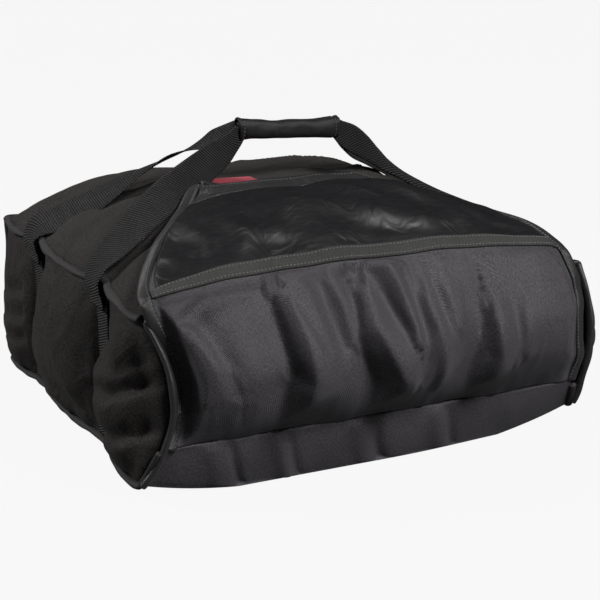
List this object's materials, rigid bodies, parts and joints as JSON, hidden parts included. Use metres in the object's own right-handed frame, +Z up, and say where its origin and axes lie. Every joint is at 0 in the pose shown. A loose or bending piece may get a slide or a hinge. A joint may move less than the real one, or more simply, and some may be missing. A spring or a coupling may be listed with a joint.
{
  "type": "pizza delivery bag",
  "caption": "Padded box-shaped cloth bag with a puffed top, a front flap that folds over the top, a clear ticket window, side webbing and a padded carry grip.",
  "frame": {"origin": "on the floor, under the middle of the bag's body, at the face it rests on", "axes": "+X along the flap to the right, -Y out of the mouth, +Z up"},
  "size_m": [0.568, 0.541, 0.3367],
  "materials": {
    "outer_cloth": "matte woven polyester",
    "insulation": "foam and fibre pad",
    "lining": "coated cloth",
    "webbing": "ribbed woven webbing",
    "binding": "woven tape",
    "clear_vinyl": "clear flexible sheet",
    "hook_and_loop": "napped strip",
    "label": "plain woven label"
  },
  "bodies": {
    "bag_body": {"base_shell": "outer_cloth", "base_pad": "insulation", "base_lining": "lining", "top_shell": "outer_cloth", "top_pad": "insulation", "top_lining": "lining", "rear_shell": "outer_cloth", "rear_pad": "insulation", "rear_lining": "lining", "left_side_shell": "outer_cloth", "left_side_pad": "insulation", "left_side_lining": "lining", "right_side_shell": "outer_cloth", "right_side_pad": "insulation", "right_side_lining": "lining", "rim_piping": "binding", "floor_piping": "binding", "rear_corner_piping_left": "binding", "rear_corner_piping_right": "binding", "mouth_binding": "binding", "closure_loop_strip": "hook_and_loop", "label": "label", "side_web_front_left": "webbing", "side_web_rear_left": "webbing", "side_web_front_right": "webbing", "side_web_rear_right": "webbing", "strap_front_left": "webbing", "strap_rear_left": "webbing", "strap_front_right": "webbing", "strap_rear_right": "webbing"},
    "flap_front": {"flap_front_shell": "outer_cloth", "flap_front_pad": "insulation", "flap_front_lining": "lining", "flap_front_binding_left": "binding", "flap_front_binding_right": "binding"},
    "flap_top": {"flap_top_shell": "outer_cloth", "flap_top_pad": "insulation", "flap_top_lining": "lining", "flap_top_binding": "binding", "ticket_window": "clear_vinyl", "window_hem": "outer_cloth", "window_lower_tape": "binding", "closure_hook_strip": "hook_and_loop"},
    "grip": {"grip_sleeve": "outer_cloth", "grip_web_front": "webbing", "grip_web_rear": "webbing"}
  },
  "joints": [
    {"name": "flap_open", "type": "hinge", "parent": "bag_body", "child": "flap_front", "pos_m": [0, -0.2485, 0.057], "axis": [1, 0, 0], "range_deg": [0, 90]},
    {"name": "flap_fold", "type": "hinge", "parent": "flap_front", "child": "flap_top", "pos_m": [0, -0.2405, 0.212], "axis": [1, 0, 0], "range_deg": [0, 70]},
    {"name": "handle_drop", "type": "slide", "parent": "bag_body", "child": "grip", "axis": [0, 0, -1], "range_m": [0, 0.039], "deforming": ["strap_front_left", "strap_rear_left", "strap_front_right", "strap_rear_right"]}
  ]
}
